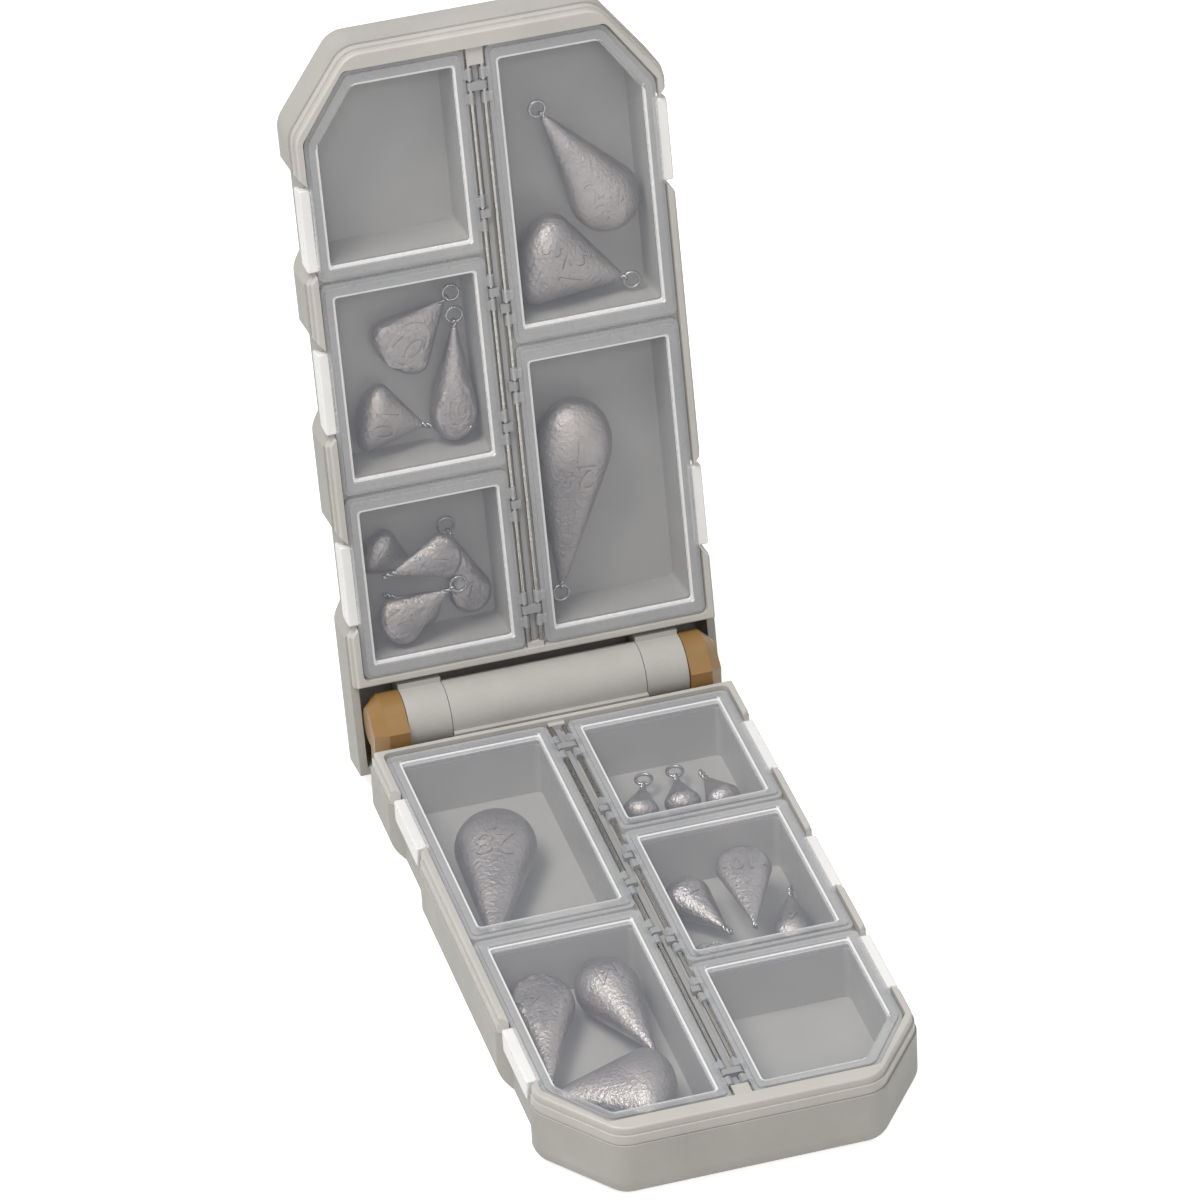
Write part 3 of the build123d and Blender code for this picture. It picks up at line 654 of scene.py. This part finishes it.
def raise_number(body, words, width):
    """Raised figures laid on the sinker's top, read from its point."""
    bpy.ops.object.text_add(location=(0, 0, 0))
    words_drawn = bpy.context.object.data
    words_drawn.body = words
    words_drawn.size = width * (FIGURE_SHARE if len(words) < LONG_NUMBER else LONG_FIGURE_SHARE) * MM
    words_drawn.space_line = LINE_SPACE
    words_drawn.align_x = "CENTER"
    words_drawn.align_y = "CENTER"
    words_drawn.extrude = FIGURE_HEIGHT * MM
    words_drawn.resolution_u = 4
    bpy.ops.object.convert(target="MESH")
    figures = bpy.context.object
    figures.data.transform(
        Matrix.Translation((FACE_SHIFT * width * MM, 0, 0)) @ Matrix.Rotation(-pi / 2, 4, "Z"))
    edit(figures)
    bpy.ops.mesh.select_all(action="SELECT")
    bpy.ops.mesh.subdivide(number_cuts=1)
    close_edit()
    # Each point drops onto the sinker from well above it
    for vertex in figures.data.vertices:
        above = Vector((vertex.co.x, vertex.co.y, 100 * MM))
        found, spot, _, _ = body.ray_cast(above, Vector((0, 0, -1)))
        if found:
            vertex.co.z += spot.z
    paint(figures, lead)
    return figures


def raise_ring(width, level):
    """A raised oval line on a flat face."""
    bpy.ops.mesh.primitive_circle_add(vertices=48, radius=RING_SHARE * width * MM, fill_type="NGON")
    ring = bpy.context.object
    edit(ring)
    bpy.ops.mesh.select_all(action="SELECT")
    push(0, 0, RING_HEIGHT)
    pick("faces", flat_top(RING_HEIGHT))
    bpy.ops.mesh.inset(thickness=RING_LINE * MM)
    push(0, 0, -RING_RECESS)
    bpy.ops.mesh.select_all(action="SELECT")
    bpy.ops.transform.resize(value=(RING_STRETCH, 1, 1), center_override=(0, 0, 0))
    bpy.ops.transform.translate(value=(FACE_SHIFT * width * MM, 0, (level - RING_SINK) * MM))
    bpy.ops.mesh.normals_make_consistent(inside=False)
    close_edit()
    bpy.ops.object.shade_smooth_by_angle(angle=radians(30))
    paint(ring, lead)
    return ring


def model_sinker(blank, name, across, out, direction, length, width, thickness, layer, eye, flat, cast):
    """One cast sinker with its wire and what its face bears."""
    half = name.split("_")[0]
    stretch = length / BLANK_LENGTH
    sinker = copy_piece(blank)
    edit(sinker)
    bpy.ops.mesh.select_all(action="SELECT")
    bpy.ops.transform.resize(value=(stretch * MM, width * MM, thickness * MM), center_override=(0, 0, 0))
    if flat:
        bpy.ops.mesh.bisect(plane_co=(0, 0, FLAT_SHARE * thickness * MM), plane_no=(0, 0, 1),
                            clear_outer=True, use_fill=True)
        # The cut is the one face with many corners
        pick("faces", lambda face: face.normal.z > 0.99 and len(face.verts) > 12)
        bpy.ops.mesh.bevel(offset=FLAT_ROUNDING * width * MM, segments=3, affect="EDGES")
    close_edit()
    bpy.ops.object.shade_smooth_by_angle(angle=radians(40))
    parts = [sinker]
    if flat:
        parts.append(raise_ring(width, FLAT_SHARE * thickness))
    if cast:
        parts.append(raise_number(sinker, cast, width))
    paint(sinker, lead, wire_steel)
    parts.append(model_wire((BLANK_LENGTH - BULB_RADIUS) * stretch, eye))
    sinker = join(parts)
    level = POCKET_FLOOR + SEAT_GAP + layer * (LAYER_THICKNESS + SEAT_GAP) + thickness / 2
    seat = Matrix.Translation(Vector((across, out, level)) * MM) @ Matrix.Rotation(radians(direction), 4, "Z")
    sinker.data.transform(seat)
    place_piece(sinker, name, half, f"{half}_half")


teardrop = model_teardrop()
for row in SINKERS:
    model_sinker(teardrop, *row)
bpy.data.objects.remove(teardrop)

# ---- Floor, light and camera ----


def seen_rays(tree):
    """One where a ray comes from the camera, a reflection or a see-through piece, and zero elsewhere."""
    light_path = add_node(tree, "ShaderNodeLightPath").outputs
    seen = add_node(tree, "ShaderNodeMath", {"operation": "MAXIMUM"},
                    {0: light_path["Is Camera Ray"], 1: light_path["Is Glossy Ray"]})
    seen = add_node(tree, "ShaderNodeMath", {"operation": "MAXIMUM"},
                    {0: seen.outputs[0], 1: light_path["Is Transmission Ray"]})
    return seen.outputs[0]


# Matt white paper: it looks evenly white, and its glow lights nothing
FLOOR_GLOW = 0.75
bpy.ops.mesh.primitive_plane_add(size=6, location=(0, 0, 0))
floor = bpy.context.object
floor.name = "floor"
material, tree, place, output = start_material("pale_paper")
glow = add_node(tree, "ShaderNodeMath", {"operation": "MULTIPLY", 1: FLOOR_GLOW}, {0: seen_rays(tree)})
# Fibres gather into clouds some 3 mm wide
fibres = add_node(tree, "ShaderNodeTexNoise", {"Scale": 1 / (3 * MM)}, {"Vector": place})
shade = add_node(tree, "ShaderNodeMix", {"data_type": "RGBA", 6: linear("#D4D4D2"), 7: linear("#CFCFCD")},
                 {0: fibres.outputs[0]})
paper = add_node(tree, "ShaderNodeBsdfPrincipled",
                 {"Roughness": 0.9, "Specular IOR Level": 0.1, "Emission Color": (1, 1, 1, 1)},
                 {"Base Color": shade.outputs[2], "Emission Strength": glow.outputs[0]})
tree.links.new(paper.outputs[0], output.inputs[0])
floor.data.materials.append(material)

# The studio's walls: strength of their light, and how bright they look
WALL_LIGHT, WALL_LOOK = 0.42, 1.0
world = bpy.data.worlds.new("studio")
bpy.context.scene.world = world
world.use_nodes = True
tree = world.node_tree
tree.nodes.clear()
level = add_node(tree, "ShaderNodeMapRange", {"To Min": WALL_LIGHT, "To Max": WALL_LOOK},
                 {"Value": seen_rays(tree)})
sky = add_node(tree, "ShaderNodeBackground", {"Color": (1, 1, 1, 1)}, {"Strength": level.outputs["Result"]})
add_node(tree, "ShaderNodeOutputWorld", {}, {"Surface": sky.outputs[0]})

# The middle of the box, in metres
BOX_MIDDLE = Vector((0, 0.02, 0.05))


def add_softbox(name, place, size, power, colour):
    """A square area lamp at a place in metres, turned to the middle of the box."""
    bpy.ops.object.light_add(type="AREA", location=place)
    lamp = bpy.context.object
    lamp.name = name
    lamp.data.size = size
    lamp.data.energy = power
    lamp.data.color = linear(colour)[:3]
    lamp.rotation_euler = (BOX_MIDDLE - Vector(place)).to_track_quat("-Z", "Y").to_euler()


add_softbox("softbox_top", place=(-0.35, -0.1, 0.85), size=0.4, power=7.0, colour="#FFFDF8")
add_softbox("softbox_front", place=(-0.1, -0.95, 0.75), size=0.35, power=3.2, colour="#FFF8F0")

# Where the photograph was taken from, in metres, and how the camera was turned: fitted to the corners of the
# windows in the photograph
CAMERA_PLACE = Vector((-0.2738, -1.03065, 0.8002))
CAMERA_RIGHT = Vector((0.9591, -0.2799, -0.0432)).normalized()
CAMERA_FORWARD = Vector((0.2083, 0.8006, -0.5619)).normalized()
bpy.ops.object.camera_add()
camera = bpy.context.object
camera.name = "camera"
camera.data.sensor_width = 36.0
camera.data.lens = 237.28
camera.data.clip_start = 0.05
camera.data.clip_end = 20.0
camera_up = CAMERA_RIGHT.cross(CAMERA_FORWARD).normalized()
turned = Matrix((CAMERA_RIGHT, camera_up, -CAMERA_FORWARD)).transposed().to_4x4()
camera.matrix_world = Matrix.Translation(CAMERA_PLACE) @ turned
bpy.context.scene.camera = camera
bpy.context.scene.view_settings.view_transform = "Standard"
